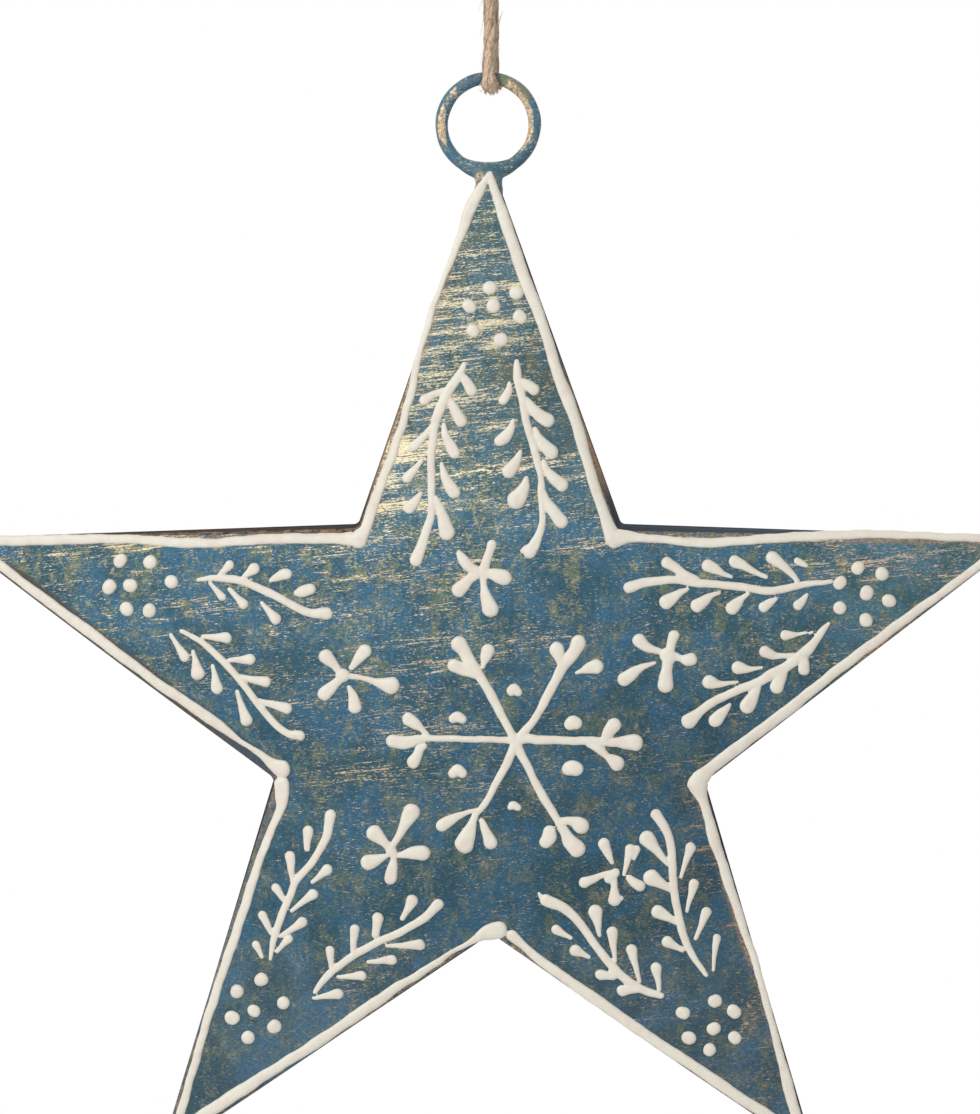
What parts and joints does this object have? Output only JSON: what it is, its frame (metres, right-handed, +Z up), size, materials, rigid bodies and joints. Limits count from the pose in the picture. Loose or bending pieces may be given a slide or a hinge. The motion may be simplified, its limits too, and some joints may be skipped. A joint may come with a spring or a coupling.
{
  "type": "hanging star ornament",
  "caption": "Hanging folk ornament: a hollow five-pointed tin star with raised painted motifs, a soldered wire ring and a knotted jute loop.",
  "frame": {"origin": "inside the top of the twine's eye, where the ornament hangs on its hook", "axes": "+Z up along the hanging twine, the painted front face looks towards -Y, +X to the right of the front face"},
  "size_m": [0.1902, 0.0189, 0.258],
  "materials": {
    "front_tin": "worn satin blue paint over tin",
    "back_tin": "worn satin blue paint over tin",
    "ring_wire": "blue paint rubbed to brassy metal",
    "solder": "painted solder",
    "raised_paint": "satin cream relief paint",
    "jute_twine": "hairy natural jute"
  },
  "bodies": {
    "hanger": {"twine_eye": "jute_twine"},
    "knot": {"twine_knot": "jute_twine"},
    "strands": {"twine_strands": "jute_twine"},
    "star": {"front_shell": "front_tin", "back_shell": "back_tin", "hanging_ring": "ring_wire", "solder_neck": "solder", "paint_border": "raised_paint", "paint_snowflake": "raised_paint", "flower_top": "raised_paint", "flower_right": "raised_paint", "flower_lower_right": "raised_paint", "flower_lower_left": "raised_paint", "flower_left": "raised_paint", "sprig_top_a": "raised_paint", "sprig_top_b": "raised_paint", "sprig_right_a": "raised_paint", "sprig_right_b": "raised_paint", "sprig_lower_right_a": "raised_paint", "sprig_lower_right_b": "raised_paint", "sprig_lower_left_a": "raised_paint", "sprig_lower_left_b": "raised_paint", "sprig_left_a": "raised_paint", "sprig_left_b": "raised_paint"}
  },
  "joints": [
    {"name": "twine_twist", "type": "hinge", "parent": "hanger", "child": "knot", "pos_m": [0, 0, -0.03], "axis": [0, 0, 1], "range_deg": [-170, 170]},
    {"name": "strand_swing", "type": "hinge", "parent": "knot", "child": "strands", "pos_m": [0, 0, -0.03], "axis": [1, 0, 0], "range_deg": [-60, 60]},
    {"name": "ring_turn", "type": "hinge", "parent": "strands", "child": "star", "pos_m": [0, 0, -0.0639], "axis": [0, 1, 0], "range_deg": [-120, 120]}
  ]
}
